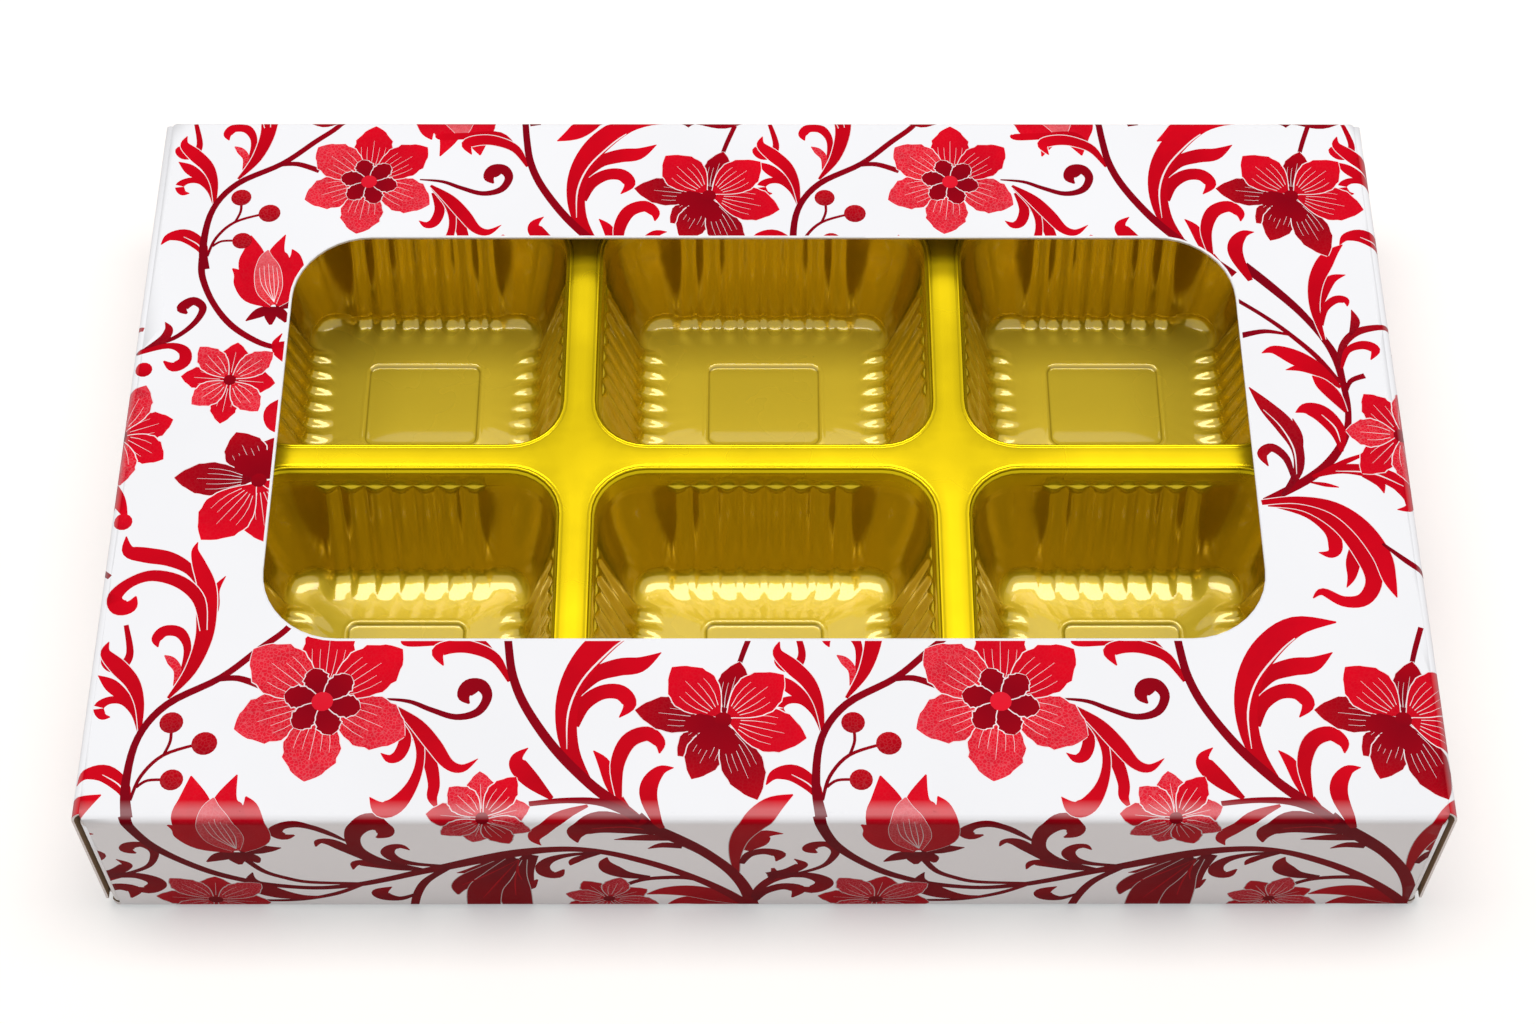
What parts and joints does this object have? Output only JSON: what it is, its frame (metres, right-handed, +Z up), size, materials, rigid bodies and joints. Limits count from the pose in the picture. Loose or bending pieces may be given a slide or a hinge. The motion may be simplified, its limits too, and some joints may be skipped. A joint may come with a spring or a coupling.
{
  "type": "chocolate box",
  "caption": "Flat rectangular carton with a rounded window in its lid, tuck flaps at both ends and a loose fluted cavity tray inside, for boxed chocolates.",
  "frame": {"origin": "on the table under the middle of the box", "axes": "+X along the length, -Y to the front, +Z up through the lid"},
  "size_m": [0.216, 0.14, 0.032],
  "materials": {
    "printed_board": "satin",
    "white_board": "satin",
    "plain_board": "matte",
    "gold_sheet": "gloss"
  },
  "bodies": {
    "carton": {"top_panel": "printed_board", "front_panel": "printed_board", "bottom_panel": "white_board", "back_panel": "printed_board", "glue_flap": "plain_board"},
    "left_closure": {"left_closure_flap": "printed_board"},
    "left_tongue": {"left_tuck_tongue": "printed_board"},
    "left_front_dust": {"left_front_dust_flap": "white_board"},
    "left_back_dust": {"left_back_dust_flap": "white_board"},
    "right_closure": {"right_closure_flap": "printed_board"},
    "right_tongue": {"right_tuck_tongue": "printed_board"},
    "right_front_dust": {"right_front_dust_flap": "white_board"},
    "right_back_dust": {"right_back_dust_flap": "white_board"},
    "tray": {"tray": "gold_sheet"}
  },
  "joints": [
    {"name": "left_closure_hinge", "type": "hinge", "parent": "carton", "child": "left_closure", "pos_m": [-0.108, 0, 0.032], "axis": [0, 1, 0], "range_deg": [0, 160]},
    {"name": "left_tongue_hinge", "type": "hinge", "parent": "left_closure", "child": "left_tongue", "pos_m": [-0.1076, 0, 0.0015], "axis": [0, -1, 0], "range_deg": [0, 80]},
    {"name": "left_front_dust_hinge", "type": "hinge", "parent": "carton", "child": "left_front_dust", "pos_m": [-0.1067, -0.07, 0.016], "axis": [0, 0, 1], "range_deg": [0, 64]},
    {"name": "left_back_dust_hinge", "type": "hinge", "parent": "carton", "child": "left_back_dust", "pos_m": [-0.1067, 0.07, 0.016], "axis": [0, 0, -1], "range_deg": [0, 64]},
    {"name": "right_closure_hinge", "type": "hinge", "parent": "carton", "child": "right_closure", "pos_m": [0.108, 0, 0.032], "axis": [0, -1, 0], "range_deg": [0, 160]},
    {"name": "right_tongue_hinge", "type": "hinge", "parent": "right_closure", "child": "right_tongue", "pos_m": [0.1076, 0, 0.0015], "axis": [0, 1, 0], "range_deg": [0, 80]},
    {"name": "right_front_dust_hinge", "type": "hinge", "parent": "carton", "child": "right_front_dust", "pos_m": [0.1067, -0.07, 0.016], "axis": [0, 0, -1], "range_deg": [0, 64]},
    {"name": "right_back_dust_hinge", "type": "hinge", "parent": "carton", "child": "right_back_dust", "pos_m": [0.1067, 0.07, 0.016], "axis": [0, 0, 1], "range_deg": [0, 64]},
    {"name": "tray_slide", "type": "slide", "parent": "carton", "child": "tray", "axis": [1, 0, 0], "range_m": [-0.0009, 0.0009]}
  ],
  "couplings": [
    {"joint": "left_tongue_hinge", "follows": "left_closure_hinge", "ratio": 0.5},
    {"joint": "left_front_dust_hinge", "follows": "left_closure_hinge", "ratio": 0.4},
    {"joint": "left_back_dust_hinge", "follows": "left_closure_hinge", "ratio": 0.4},
    {"joint": "right_tongue_hinge", "follows": "right_closure_hinge", "ratio": 0.5},
    {"joint": "right_front_dust_hinge", "follows": "right_closure_hinge", "ratio": 0.4},
    {"joint": "right_back_dust_hinge", "follows": "right_closure_hinge", "ratio": 0.4}
  ]
}
